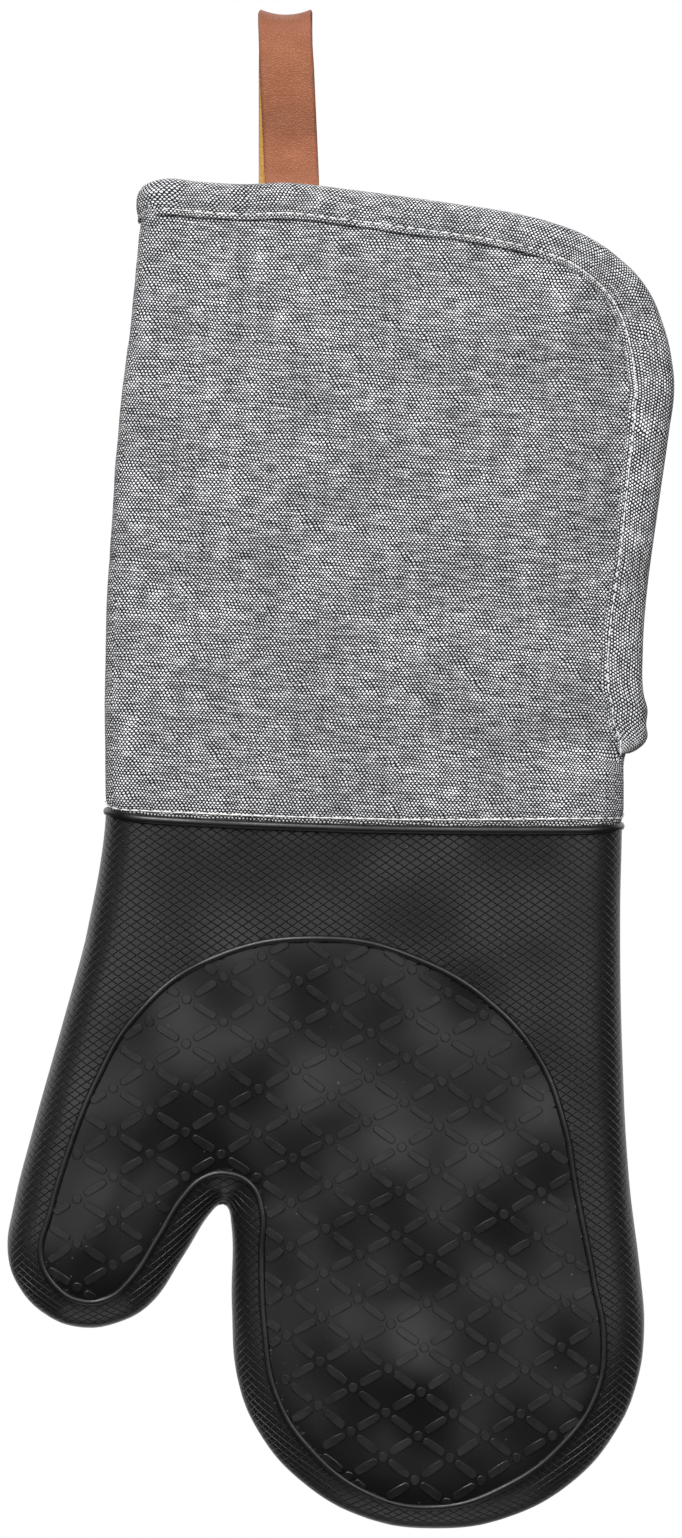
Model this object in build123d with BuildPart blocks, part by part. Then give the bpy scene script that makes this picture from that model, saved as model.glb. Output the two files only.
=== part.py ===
"""Silicone oven mitt hanging by its strap, fingers down, palm to the front (-Y).

The moulded glove holds a quilted bag (wadding and lining).  A padded cloth cuff is
sewn to its rim, open at the top and along a bound vent on the right.  All sizes are
in millimetres; the origin is the point of the loop that rests on a hook.
"""

import os
from math import acos, atan2, ceil, cos, hypot, pi, radians, sin, tan

from build123d import *

os.makedirs("parts", exist_ok=True)

# Hanging strap
strap_width = 15.2
strap_thickness = 1.4
loop_radius = 5.0          # inside the top of the loop
loop_height = 46.0         # hook point down to the top edge of the cuff
loop_rise = 3.5            # strap's bending line above that edge
strap_slit = 0.1           # half the gap between the legs at that line
tail_length = 16.0         # ends sewn into the back of the cuff

# Cuff
cuff_length = 175.8        # top edge to rim, at the strap
cuff_top_slope = 4.0       # degrees, falling to the right
cuff_corner_radius = 47.0
cuff_lean = 9.6            # left side leans in by this much at the top
cuff_lean_start = 67.0     # height above the rim where that begins
mouth_gap = 4.5            # from the middle plane to the bound edges, at the top left,
vent_gap = 1.2             # and along the vent
vent_rise = 20.3           # rim up to the foot of the vent
vent_bend_rise = 45.0
vent_bend_radius = 60.0
vent_foot_flare = 7.2      # vent edge outside the side seam, at its foot,
vent_bend_flare = 5.8      # at its bend,
vent_top_flare = 19.3      # and where it would meet the top edge

# Glove
hand_length = 193.6        # rim to fingertips
hand_depth = 16.5          # half thickness
edge_round = 7.5
wrist_left = -49.6
wrist_right = 91.7
side_bend_drop = 79.5      # below the rim, on the little-finger side
fingertip_right = 105.4
finger_left = -14.8
crotch_drop = 99.0
crotch_radius = 1.8
thumb_inner = (-45.7, 144.9)   # x, and drop below the rim
thumb_outer = (-81.4, 128.7)
thumb_root = (-56.1, 34.6)

# Bead round the grip panel, and the bead along the rim
bead_margin = 1.0          # flat face left outside the bead
arch_centre = 10.4         # x of the arch over the panel
arch_drop = 30.8
arch_radius = 66.0
bead_width = 1.5
bead_height = 0.8
rim_bead = 1.2
rim_height = 3.0
sewing_lip = 9.0           # thin band above the rim, under the cuff's hem
lip_thickness = 1.2
lip_seat = 0.4             # rim reaches this far inside the lip

# Layers
shell_wall = 2.0
hand_wadding = 3.4
cover = 0.8
lining = 0.7
layer_gap = 0.2
rim_step = 0.6             # cuff's cloth lies this far inside the glove's face
binding_cloth = 0.9
binding_width = 11.5
binding_gap = 0.15
thread = 0.8
thread_height = 0.4
thread_gap = 0.05
stitch_margin = 1.2        # stitching inside the binding's inner edge
hem_stitch = 2.6           # stitching above the rim
hinge_gap = 0.3

# Levels and layer depths that follow from these
cuff_top = -loop_height
rim = cuff_top - cuff_length
vent_foot = rim + vent_rise
lining_face = shell_wall + layer_gap + hand_wadding + layer_gap
lining_inside = lining_face + lining
stack = lining_inside - rim_step
binding_reach = binding_gap + binding_cloth
cuff_top_depth = stack + binding_reach + mouth_gap
vent_depth = stack + binding_reach + vent_gap
panel_margin = edge_round + bead_margin
mouth_corner = 0.8 * mouth_gap
foot_corner = 0.8 * vent_gap
overlap = 20.0             # forms run on this far past the planes that trim them
facet_angle = radians(30)  # turn of each straight side on the layers out of sight


def turn(before, corner, after):
    """Angle, in radians, through which an outline turns at a corner."""
    ax, ay = corner[0] - before[0], corner[1] - before[1]
    bx, by = after[0] - corner[0], after[1] - corner[1]
    return acos((ax * bx + ay * by) / (hypot(ax, ay) * hypot(bx, by)))


def gentle_bend(before, corner, after):
    """Radius of the widest easy bend that fits between two sides."""
    short_side = min(
        hypot(corner[0] - before[0], corner[1] - before[1]),
        hypot(after[0] - corner[0], after[1] - corner[1]),
    )
    return 0.15 * short_side / tan(turn(before, corner, after) / 2)


def end_round(before, first, second, after):
    """Radius of the arc that rounds off a whole end between its two corners."""
    width = hypot(second[0] - first[0], second[1] - first[1])
    bends = tan(turn(before, first, second) / 2) + tan(turn(first, second, after) / 2)
    return 0.99 * width / bends


def inset_outline(outline, inset):
    """The same clockwise outline drawn further in, with arcs about the same centres."""
    corners = [corner for corner, radius in outline]
    moved = []
    for index, (corner, radius) in enumerate(outline):
        before, after = corners[index - 1], corners[(index + 1) % len(corners)]
        ax, ay = corner[0] - before[0], corner[1] - before[1]
        bx, by = after[0] - corner[0], after[1] - corner[1]
        normal_a = (ay / hypot(ax, ay), -ax / hypot(ax, ay))
        normal_b = (by / hypot(bx, by), -bx / hypot(bx, by))
        share = inset / (1 + normal_a[0] * normal_b[0] + normal_a[1] * normal_b[1])
        place = (
            corner[0] + share * (normal_a[0] + normal_b[0]),
            corner[1] + share * (normal_a[1] + normal_b[1]),
        )
        hollow = ax * by - ay * bx > 0
        if radius:
            radius = radius + inset if hollow else radius - inset
        moved.append((place, radius))
    return moved


def faceted(outline):
    """Points of the same outline, with a few straight sides on each arc."""
    corners = [Vector(*corner) for corner, radius in outline]
    points = []
    for index, (corner, radius) in enumerate(outline):
        before, middle, after = corners[index - 1], corners[index], corners[(index + 1) % len(corners)]
        if not radius:
            points.append(middle)
            continue
        angle = turn((before.X, before.Y), corner, (after.X, after.Y))
        arriving = (middle - before).normalized()
        leaving = (after - middle).normalized()
        across = (leaving - arriving * cos(angle)) / sin(angle)
        start = middle - arriving * radius * tan(angle / 2)
        sides = ceil(angle / facet_angle)
        for side in range(sides + 1):
            along = angle * side / sides
            points.append(start + arriving * radius * sin(along) + across * radius * (1 - cos(along)))
    return points


def arch_corner(side_point, side):
    """Where a panel side, drawn from a point as a tangent of the arch, meets its top line."""
    dx, dz = side * (side_point[0] - arch_centre), side_point[1] - (rim - arch_drop - arch_radius)
    touch = atan2(dz, dx) + acos(arch_radius / hypot(dx, dz))
    return (arch_centre + side * arch_radius * tan((pi / 2 - touch) / 2), rim - arch_drop)


# Outline of the glove, clockwise from the right end of the rim
side_bend = (wrist_right, rim - side_bend_drop)
tip_right = (fingertip_right, rim - hand_length)
tip_left = (finger_left, rim - hand_length)
crotch = (finger_left, rim - crotch_drop)
thumb_in = (thumb_inner[0], rim - thumb_inner[1])
thumb_out = (thumb_outer[0], rim - thumb_outer[1])
thumb_bend = (thumb_root[0], rim - thumb_root[1])
rim_left = (wrist_left, rim)
finger_round = end_round(side_bend, tip_right, tip_left, crotch)
thumb_round = end_round(crotch, thumb_in, thumb_out, thumb_bend)
left_above_rim = (wrist_left, rim + overlap)
right_above_rim = (wrist_right, rim + overlap)
hand_outline = [
    (right_above_rim, 0),
    (side_bend, gentle_bend(right_above_rim, side_bend, tip_right)),
    (tip_right, finger_round),
    (tip_left, finger_round),
    (crotch, crotch_radius),
    (thumb_in, thumb_round),
    (thumb_out, thumb_round),
    (thumb_bend, gentle_bend(thumb_out, thumb_bend, rim_left)),
    (rim_left, gentle_bend(thumb_bend, rim_left, left_above_rim)),
    (left_above_rim, 0),
]

# Outline of the grip panel: the glove's own outline further in, under an arch
panel_corners = [corner for corner, radius in inset_outline(hand_outline, panel_margin)[2:7]]
panel_right, panel_left, panel_crotch, panel_thumb_in, panel_thumb_out = panel_corners
arch_l = arch_corner(panel_thumb_out, -1)
arch_r = arch_corner(panel_right, 1)
arch_bend = end_round(panel_thumb_out, arch_l, arch_r, panel_right)
panel_finger_round = end_round(arch_r, panel_right, panel_left, panel_crotch)
panel_thumb_round = end_round(panel_crotch, panel_thumb_in, panel_thumb_out, arch_l)
panel_outline = [
    (arch_l, arch_bend),
    (arch_r, arch_bend),
    (panel_right, panel_finger_round),
    (panel_left, panel_finger_round),
    (panel_crotch, crotch_radius + panel_margin),
    (panel_thumb_in, panel_thumb_round),
    (panel_thumb_out, panel_thumb_round),
]


def top_edge(x):
    """Height of the cuff's sloping top edge."""
    return cuff_top - x * tan(radians(cuff_top_slope))


# Region below the cuff's top edge and left of its vent
far_left = wrist_left - overlap
cuff_edge = [
    ((far_left, rim - overlap), 0),
    ((far_left, top_edge(far_left)), 0),
    ((wrist_right + vent_top_flare, top_edge(wrist_right + vent_top_flare)), cuff_corner_radius),
    ((wrist_right + vent_bend_flare, rim + vent_bend_rise), vent_bend_radius),
    ((wrist_right + vent_foot_flare, rim + 0.5 * vent_rise), 0),
    ((wrist_right + vent_foot_flare, rim - overlap), 0),
]


def draw(outline):
    """Draw a closed outline from its corners and their radii."""
    FilletPolyline(
        *[corner for corner, radius in outline],
        radius=[radius for corner, radius in outline],
        close=True,
    )


def glove_form():
    """Solid shape of the glove's outer face, its edges rounded in three flats."""
    top = rim + overlap - layer_gap
    with BuildPart() as form:
        with BuildSketch(Plane.XZ):
            with BuildLine():
                draw(hand_outline)
            make_face()
        extrude(amount=hand_depth, both=True)
        loops = form.edges().group_by(Axis.Y)
        edges = loops[0] + loops[-1]
        chamfer([edge for edge in edges if edge.center().Z < top], edge_round * (1 - tan(pi / 8)))
        loops = form.edges().group_by(Axis.Y)
        edges = loops[0] + loops[2] + loops[-3] + loops[-1]
        chamfer(
            [edge for edge in edges if edge.center().Z < top],
            edge_round * (tan(pi / 8) - tan(pi / 16)),
        )
    return form.part


def inner_form(inset):
    """The same shape at a layer depth inside it, with straight sides and bevelled edges."""
    depth = hand_depth - inset
    bevel = edge_round / 2
    levels = ((-depth, bevel), (bevel - depth, 0), (depth - bevel, 0), (depth, bevel))
    with BuildPart() as form:
        for level, further_in in levels:
            with BuildSketch(Plane.XZ.offset(level)):
                with BuildLine():
                    Polyline(*faceted(inset_outline(hand_outline, inset + further_in)), close=True)
                make_face()
        loft(ruled=True)
    return form.part


def between(height, at_rim, at_top):
    """A cuff size that changes evenly from the rim to the top."""
    return at_rim + (at_top - at_rim) * (height - rim) / (cuff_top - rim)


def quarter_bend(x, y, radius, start):
    """Points of a quarter turn in three straight sides, from an angle in degrees."""
    angles = [radians(start + step) for step in (0, 30, 60, 90)]
    return [(x + radius * cos(angle), y + radius * sin(angle)) for angle in angles]


def left_side(height, inset):
    """First points of a cuff section: the rounded left side, front half."""
    lean = max(0, height - rim - cuff_lean_start) / (cuff_length - cuff_lean_start)
    left = wrist_left + rim_step + cuff_lean * lean + inset
    front = inset - between(height, hand_depth - rim_step, cuff_top_depth)
    corner = between(height, edge_round - rim_step, mouth_corner)
    return [(left, 0)] + quarter_bend(left + corner, front + corner, corner, 180)


def right_side(inset, depth, corner):
    """Last points of a section below the vent: the side seam, front half."""
    seam = wrist_right - rim_step - inset
    front = inset - depth
    return quarter_bend(seam - corner, front + corner, corner, 270) + [(seam, 0)]


def vent_side(height, inset):
    """The same above the foot of the vent, where the front runs in to meet the back."""
    front = left_side(height, inset)[-1][1]
    foot = right_side(inset, vent_depth, foot_corner)
    run = (foot[1][1] - front) / tan(radians(15))
    return [(foot[1][0] - run, front)] + foot[1:]


def cuff_lower(inset):
    """Front half of the cuff below the vent, closed on the right by the side seam."""
    rim_side = right_side(inset, hand_depth - rim_step, edge_round - rim_step)
    with BuildPart() as form:
        for height, right in ((rim, rim_side), (vent_foot, vent_side(vent_foot, inset))):
            with BuildSketch(Plane.XY.offset(height)):
                with BuildLine():
                    Polyline(*left_side(height, inset), *right, close=True)
                make_face()
        loft(ruled=True)
    return form.part


def cuff_upper(inset, drop=0):
    """Front half of the cuff above the foot of the vent, running on past its edges."""
    past_edge = wrist_right + vent_top_flare + overlap
    with BuildPart() as form:
        for height in (vent_foot - drop, rim + cuff_lean_start, cuff_top + overlap):
            bend, vent = vent_side(height, inset)[:2]
            with BuildSketch(Plane.XY.offset(height)):
                with BuildLine():
                    edge = [(past_edge, vent[1]), (past_edge, 0)]
                    Polyline(*left_side(height, inset), bend, vent, *edge, close=True)
                make_face()
        loft(ruled=True)
    return form.part


def cuff_region(grow):
    """Everything under the cuff's top edge and left of its vent edge."""
    with BuildPart() as region:
        with BuildSketch(Plane.XZ):
            with BuildLine():
                draw(inset_outline(cuff_edge, -grow))
            make_face()
        extrude(amount=2 * hand_depth, both=True)
    return region.part


def upper_layer(outside, inside, trim, drop=0):
    """Front half of a layer of the cuff above the foot of the vent, between two depths."""
    outer, inner = cuff_upper(outside, drop), cuff_upper(inside, drop)
    with BuildPart() as layer:
        add(outer)
        add(trim, mode=Mode.INTERSECT)
        add(inner, mode=Mode.SUBTRACT)
    return layer.part


def cuff_layer(outside, inside, trim, drop=0):
    """Front half of one whole cloth or wadding layer of the cuff."""
    upper = upper_layer(outside, inside, trim, drop)
    outer_lower, inner_lower = cuff_lower(outside), cuff_lower(inside)
    with BuildPart() as layer:
        add(upper)
        add(outer_lower)
        add(inner_lower, mode=Mode.SUBTRACT)
    return layer.part


# Glove: one moulding with a beaded panel on both faces, a rim and a sewing lip
glove_outside = glove_form()
glove_hollow = inner_form(shell_wall)
lip_outside = cuff_lower(cover + layer_gap)
lip_inside = cuff_lower(cover + layer_gap + lip_thickness)
wrist_centre = (wrist_left + wrist_right) / 2
wrist_width = wrist_right - wrist_left

with BuildPart() as sewing_band:
    add(lip_outside)
    add(lip_inside, mode=Mode.SUBTRACT)
    mirror(about=Plane.XZ)
    split(bisect_by=Plane.XY.offset(rim + sewing_lip), keep=Keep.BOTTOM)

with BuildPart() as panel_bead:
    with BuildSketch(Plane.XZ.offset(hand_depth - shell_wall / 2)):
        with BuildLine():
            draw(inset_outline(panel_outline, -bead_width / 2))
        make_face()
        with BuildLine():
            draw(inset_outline(panel_outline, bead_width / 2))
        make_face(mode=Mode.SUBTRACT)
    extrude(amount=shell_wall / 2 + bead_height)

with BuildPart() as silicone_shell:
    add(glove_outside)
    add(glove_hollow, mode=Mode.SUBTRACT)
    split(bisect_by=Plane.XY.offset(rim), keep=Keep.BOTTOM)
    with BuildSketch(Plane.XY.offset(rim - rim_height)):
        with Locations((wrist_centre, 0)):
            RectangleRounded(
                wrist_width + 2 * rim_bead, 2 * (hand_depth + rim_bead), edge_round + rim_bead
            )
            rim_inset = cover + rim_step + layer_gap + lip_thickness + lip_seat
            RectangleRounded(
                wrist_width - 2 * rim_inset,
                2 * (hand_depth - rim_inset),
                edge_round - rim_inset,
                mode=Mode.SUBTRACT,
            )
    extrude(amount=rim_height)
    add(sewing_band.part)
    add(panel_bead.part)
    mirror(panel_bead.part, about=Plane.XZ)

# Quilted bag inside the glove, palm and back halves meeting on the middle plane
wadding_outside = inner_form(shell_wall + layer_gap)
wadding_inside = inner_form(lining_face - layer_gap)
lining_outside = inner_form(lining_face)
lining_hollow = inner_form(lining_inside)

with BuildPart() as hand_wadding_palm:
    add(wadding_outside)
    add(wadding_inside, mode=Mode.SUBTRACT)
    split(bisect_by=Plane.XY.offset(rim - rim_height - layer_gap), keep=Keep.BOTTOM)
    split(bisect_by=Plane.XZ, keep=Keep.TOP)

with BuildPart() as hand_wadding_back:
    mirror(hand_wadding_palm.part, about=Plane.XZ)

with BuildPart() as hand_lining_palm:
    add(lining_outside)
    add(lining_hollow, mode=Mode.SUBTRACT)
    split(bisect_by=Plane.XY.offset(rim), keep=Keep.BOTTOM)
    split(bisect_by=Plane.XZ, keep=Keep.TOP)

with BuildPart() as hand_lining_back:
    mirror(hand_lining_palm.part, about=Plane.XZ)

# Strap: a closed loop above its bending line, and two tails in the back of the cuff.
# The loop leans forward so that the hook is over the middle of the mitt.
root_radius = strap_thickness + strap_slit
tail_top = cuff_top + loop_rise - root_radius - hinge_gap
wall_face = between(tail_top - tail_length / 2, hand_depth - rim_step, cuff_top_depth)
strap_plane = wall_face - (cover + stack - lining) / 2
loop_root = (strap_plane, cuff_top + loop_rise)

with BuildPart() as hang_loop:
    with BuildSketch(Plane.YZ):
        with BuildSketch(mode=Mode.PRIVATE) as circles:
            with Locations((0, -loop_radius)):
                Circle(loop_radius + strap_thickness)
            with Locations(loop_root):
                Circle(root_radius)
        make_hull(circles.sketch.edges())
        offset(amount=-strap_thickness, mode=Mode.SUBTRACT)
    extrude(amount=strap_width / 2, both=True)

with BuildPart() as strap_tails:
    with Locations((0, strap_plane, tail_top)):
        for side in (Align.MIN, Align.MAX):
            Box(strap_width, strap_thickness, tail_length, align=(Align.CENTER, side, Align.MAX))

with BuildPart() as tail_pocket:
    with Locations((0, strap_plane, tail_top + overlap)):
        Box(
            strap_width + 2 * layer_gap,
            2 * (root_radius + layer_gap),
            tail_length + overlap + layer_gap,
            align=(Align.CENTER, Align.CENTER, Align.MAX),
        )

with BuildPart() as wadding_slot:
    with Locations((0, 0, tail_top + overlap)):
        Box(
            strap_width + 2 * layer_gap,
            2 * hand_depth,
            tail_length + overlap + layer_gap,
            align=(Align.CENTER, Align.MIN, Align.MAX),
        )

# Cuff: cloth outside, wadding, lining; front half first, back half its mirror image
cuff_trim = cuff_region(0)
front_cover = cuff_layer(0, cover, cuff_trim)
front_wadding = cuff_layer(cover + layer_gap, stack - lining - layer_gap, cuff_trim)
front_lining = cuff_layer(stack - lining, stack, cuff_trim)

with BuildPart() as cuff_cover_front:
    add(front_cover)

with BuildPart() as cuff_cover_back:
    mirror(front_cover, about=Plane.XZ)

with BuildPart() as cuff_wadding_front:
    add(front_wadding)
    split(bisect_by=Plane.XY.offset(rim + sewing_lip + layer_gap), keep=Keep.TOP)

with BuildPart() as cuff_wadding_back:
    mirror(cuff_wadding_front.part, about=Plane.XZ)
    add(wadding_slot.part, mode=Mode.SUBTRACT)

with BuildPart() as cuff_lining_front:
    add(front_lining)

with BuildPart() as cuff_lining_back:
    mirror(front_lining, about=Plane.XZ)

# Binding folded over the top and vent edges, round all the layers there
bound_edge = cuff_layer(-binding_gap, stack + binding_gap, cuff_region(binding_gap), binding_gap)
binding_block = upper_layer(
    -binding_reach, stack + binding_reach, cuff_region(binding_reach), binding_reach
)
inside_binding = cuff_region(-binding_width)

with BuildPart() as binding_front:
    add(binding_block)
    add(inside_binding, mode=Mode.SUBTRACT)
    add(bound_edge, mode=Mode.SUBTRACT)
    split(bisect_by=Plane.XY.offset(vent_foot - binding_reach), keep=Keep.TOP)

with BuildPart() as binding_back:
    mirror(binding_front.part, about=Plane.XZ)
    add(tail_pocket.part, mode=Mode.SUBTRACT)

# Stitching: raised lines along the binding and round the hem above the rim
stitch_depth = -binding_reach - thread_gap
binding_face = upper_layer(
    stitch_depth - thread_height, stitch_depth, cuff_region(binding_reach)
)
stitch_outside = cuff_region(stitch_margin + thread - binding_width)
stitch_inside = cuff_region(stitch_margin - binding_width)
hem_outside = cuff_lower(-thread_gap - thread_height)
hem_inside = cuff_lower(-thread_gap)

with BuildPart() as binding_stitching_front:
    add(binding_face)
    add(stitch_outside, mode=Mode.INTERSECT)
    add(stitch_inside, mode=Mode.SUBTRACT)
    split(bisect_by=Plane.XY.offset(vent_foot), keep=Keep.TOP)

with BuildPart() as binding_stitching_back:
    mirror(binding_stitching_front.part, about=Plane.XZ)

with BuildPart() as rim_stitching:
    add(hem_outside)
    add(hem_inside, mode=Mode.SUBTRACT)
    mirror(about=Plane.XZ)
    split(bisect_by=Plane.XY.offset(rim + hem_stitch), keep=Keep.TOP)
    split(bisect_by=Plane.XY.offset(rim + hem_stitch + thread), keep=Keep.BOTTOM)

nodes = {
    "silicone_shell": silicone_shell,
    "hand_wadding_palm": hand_wadding_palm,
    "hand_wadding_back": hand_wadding_back,
    "hand_lining_palm": hand_lining_palm,
    "hand_lining_back": hand_lining_back,
    "cuff_cover_front": cuff_cover_front,
    "cuff_cover_back": cuff_cover_back,
    "cuff_wadding_front": cuff_wadding_front,
    "cuff_wadding_back": cuff_wadding_back,
    "cuff_lining_front": cuff_lining_front,
    "cuff_lining_back": cuff_lining_back,
    "binding_front": binding_front,
    "binding_back": binding_back,
    "binding_stitching_front": binding_stitching_front,
    "binding_stitching_back": binding_stitching_back,
    "rim_stitching": rim_stitching,
    "strap_tails": strap_tails,
    "hang_loop": hang_loop,
}
for name, node in nodes.items():
    node.part.label = name
    export_step(node.part, f"parts/{name}.step")
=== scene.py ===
"""Oven mitt: a moulded silicone glove with a padded chambray cuff and a leather loop.

It hangs by the loop with its fingers down and its palm to the front.  Sizes below are
in millimetres in the frame of the CAD model; finished meshes are in metres.
"""

from math import cos, pi, radians, sin, tan

import bmesh
import bpy
import numpy as np
from mathutils import Matrix, Vector, noise
from mathutils.bvhtree import BVHTree


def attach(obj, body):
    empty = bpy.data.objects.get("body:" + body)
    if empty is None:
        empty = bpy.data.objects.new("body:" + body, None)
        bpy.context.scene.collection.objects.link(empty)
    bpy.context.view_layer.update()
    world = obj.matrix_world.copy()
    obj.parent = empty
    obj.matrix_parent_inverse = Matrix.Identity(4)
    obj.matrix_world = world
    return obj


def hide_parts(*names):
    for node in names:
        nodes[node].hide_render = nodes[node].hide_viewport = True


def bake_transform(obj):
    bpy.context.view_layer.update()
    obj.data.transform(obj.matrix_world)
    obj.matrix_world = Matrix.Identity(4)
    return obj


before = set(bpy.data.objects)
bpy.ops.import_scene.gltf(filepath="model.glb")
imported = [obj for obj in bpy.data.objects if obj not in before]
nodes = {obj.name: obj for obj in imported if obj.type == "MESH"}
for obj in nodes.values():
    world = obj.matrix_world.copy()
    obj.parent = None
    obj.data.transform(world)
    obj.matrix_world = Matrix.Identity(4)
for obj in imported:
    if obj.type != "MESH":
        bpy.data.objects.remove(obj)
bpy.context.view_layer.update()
scene = bpy.context.scene

MM = 0.001

# Outline of the glove, clockwise from the right end of the rim, as x and z
GLOVE_OUTLINE = [
    (92.0, -200), (92.2, -222), (91.7, -246), (92.3, -285), (94.2, -320), (97.2, -345), (98.3, -360),
    (96.4, -374.7), (90.6, -388.4), (78.8, -402.2), (60, -412.4), (40.6, -415.2), (22, -412.4),
    (4, -402.2), (-7.8, -388.4), (-13.3, -374.7), (-15, -354), (-15.3, -330.5), (-16.8, -325),
    (-19.8, -327.4), (-28.2, -340.3), (-37.8, -354), (-46, -358.6), (-55.4, -360.1), (-65, -357.2),
    (-74.2, -347.6), (-76.6, -338.5), (-74.9, -326.6), (-69.7, -306), (-62, -278.4), (-54.6, -251),
    (-50.2, -230), (-49.4, -219), (-49.4, -200),
]
GLOVE_DEPTH = 16.0         # half thickness
GLOVE_ROUND = 11.5
GLOVE_WALL = 1.8
SWELL = 2.6                # of palm and back over the padding,
SWELL_REACH = 40.0         # full this far inside the outline
HOLLOW_DEPTH = 1.15        # of the soft hollows in them,
HOLLOW_SIZE = 14.0
HOLLOW_REACH = 22.0
PADDING_GAP = 2.3          # from the glove's face to the padding inside it
PADDING_THICKNESS = 4.0
PADDING_DROP = 8.0         # of its open edge below the rim

# Bead round the grip panel, clockwise from the top of its arch
PANEL_OUTLINE = [
    (12, -253), (37.3, -259.2), (55.4, -270.2), (69.2, -286.1), (76, -304), (79.1, -321.1),
    (84, -346.4), (86.8, -363.1), (84.8, -377.2), (76, -390.6), (60.4, -402.5), (40.6, -408.5),
    (22.4, -404.7), (5.4, -391.2), (-2.9, -377.2), (-5.9, -359.6), (-6.7, -339.5), (-6.6, -327),
    (-9.6, -320.2), (-16, -317.2), (-22.6, -318.4), (-28.2, -323.6), (-35.1, -334.8), (-42.4, -346),
    (-48.6, -351.3), (-56.5, -352), (-63, -348), (-67, -340), (-64.5, -328), (-59.3, -310.6),
    (-51.8, -291.9), (-41.4, -274.6), (-22.4, -259.5),
]
BEAD_RADIUS = 0.95

# Raised grip pattern: dots on a staggered lattice, bars half way along its lines
LATTICE_DOT = (-37.3, -299.8)
COLUMN_PITCH = 9.89
ROW_PITCH = 6.05
COLUMN_LEAN = 0.0085       # each column leans this much more than the one to its left
ROW_DROP = 4.3             # from the thumb side to the fingers
DOT_RADIUS = 1.35
BAR_LENGTH = 7.0
BAR_WIDTH = 2.35
GRIP_HEIGHT = 0.5
GRIP_ROOT = 0.5            # sunk into the silicone
GRIP_CHAMFER = 0.16
GRIP_GAP = 0.9             # from a bar's end to the bead's middle
SHORTEST_BAR = 2.6

# Embossed scales round the panel
SCALE_WIDTH = 3.4
SCALE_HEIGHT = 2.3

# Rim of the glove and the cuff above it
RIM_LOW = -223.6
RIM_LIFT = 3.7             # of the rim at the thumb side
RIM_ENDS = ((-38, 1.5), (81, 1.1))  # where each end begins to turn up, and how far
RIM_END_LENGTH = 11.0
RIM_BEAD = 1.3
CUFF_TOP = -46.0
CUFF_RIM = -221.8
RIM_DEPTH = 15.9
TOP_DEPTH = 11.45
VENT_DEPTH = 8.0
VENT_BEND = 90.0
VENT_SLOPE = tan(radians(15))
CUFF_MIDDLE = 20.8         # x of its middle
STACK = 5.9                # cloth, wadding and lining together
WARP_PITCH = 0.5
WEFT_PITCH = 0.68
CLOTH_TURN = radians(3)    # its rows fall a little to the right

# Left edge of the cuff, upwards from the rim, as x and z
LEFT_EDGE = [
    (-49.6, -222), (-49.9, -190), (-49.4, -162), (-48.3, -140), (-46.9, -118), (-45.8, -106.6),
    (-43, -84.6), (-40.6, -60), (-39.2, -46),
]

# Outer edge of the binding: along the top, round the corner, down the vent and round its foot
BOUND_EDGE = [
    (-26, -45.3), (-13.3, -46.2), (1.2, -45.9), (17.2, -47.7), (31.2, -49.5), (46.9, -51.7), (62.8, -54.2),
    (73.3, -56.9), (82.9, -60.6), (92, -66.8), (98.9, -74.3), (103.5, -84.4), (106, -94.7), (106.6, -102.7),
    (105.2, -114), (101.9, -137), (98.9, -160), (98, -174), (98.2, -186), (99.3, -190.4), (98.9, -194.5),
    (99.2, -198.2), (96.6, -201.2), (93.6, -202.6),
]
LEFT_TURN = (-28.0, 9.6)   # where the edge turns round the left side, and how far it reaches
VENT_FOOT = -203.0         # the halves are joined below this
BINDING_WIDTH = 10.9
# Share of that width at each height of the outer edge
BINDING_CUT = [
    (0.15, -202.8), (0.49, -201.7), (0.73, -199.5), (0.95, -197.3), (1.06, -193), (1.1, -182), (1.05, -173),
    (1.0, -162), (0.95, -150), (1.03, -130), (1.2, -97), (1.1, -75), (0.94, -55),
]
BINDING_LIFT = 0.9         # of its outer faces from the cloth
BINDING_CLOTH = 0.7
BINDING_STEP = 0.9
STITCH_PITCH = 3.1
STITCH_INSET = 1.7
STITCH_SINK = 0.24         # of the thread's middle into the binding
BINDING_THREAD = (0.9, 0.48)   # length of a stitch as a share of the pitch, and its thickness
HEM_THREAD = (1.12, 0.6)
HEM_STITCH_RISE = 2.8      # above the rim

# Strap
STRAP_WIDTH = 15.0
STRAP_THICKNESS = 1.3
LOOP_RADIUS = 5.0
ROOT = (8.6094, -42.5)     # y and z of the line that the loop swings about
TAIL_LENGTH = 18.0


def deselect():
    if bpy.context.object and bpy.context.object.mode != "OBJECT":
        bpy.ops.object.mode_set(mode="OBJECT")
    bpy.ops.object.select_all(action="DESELECT")


def activate(piece):
    deselect()
    piece.select_set(True)
    bpy.context.view_layer.objects.active = piece


def modify(piece, kind, **settings):
    """Add a modifier, set it and apply it."""
    activate(piece)
    modifier = piece.modifiers.new(kind.lower(), kind)
    for name, value in settings.items():
        setattr(modifier, name, value)
    bpy.ops.object.modifier_apply(modifier=modifier.name)


def points_of(piece):
    flat = np.empty(len(piece.data.vertices) * 3)
    piece.data.vertices.foreach_get("co", flat)
    return flat.reshape(-1, 3)


def move_points(piece, points):
    piece.data.vertices.foreach_set("co", np.asarray(points, float).ravel())
    piece.data.update()


def normals_of(piece):
    flat = np.empty(len(piece.data.vertices) * 3)
    piece.data.vertices.foreach_get("normal", flat)
    return flat.reshape(-1, 3)


def mesh_piece(name, points, faces):
    mesh = bpy.data.meshes.new(name)
    mesh.from_pydata([tuple(p) for p in points], [], faces)
    piece = bpy.data.objects.new(name, mesh)
    scene.collection.objects.link(piece)
    return piece


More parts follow.
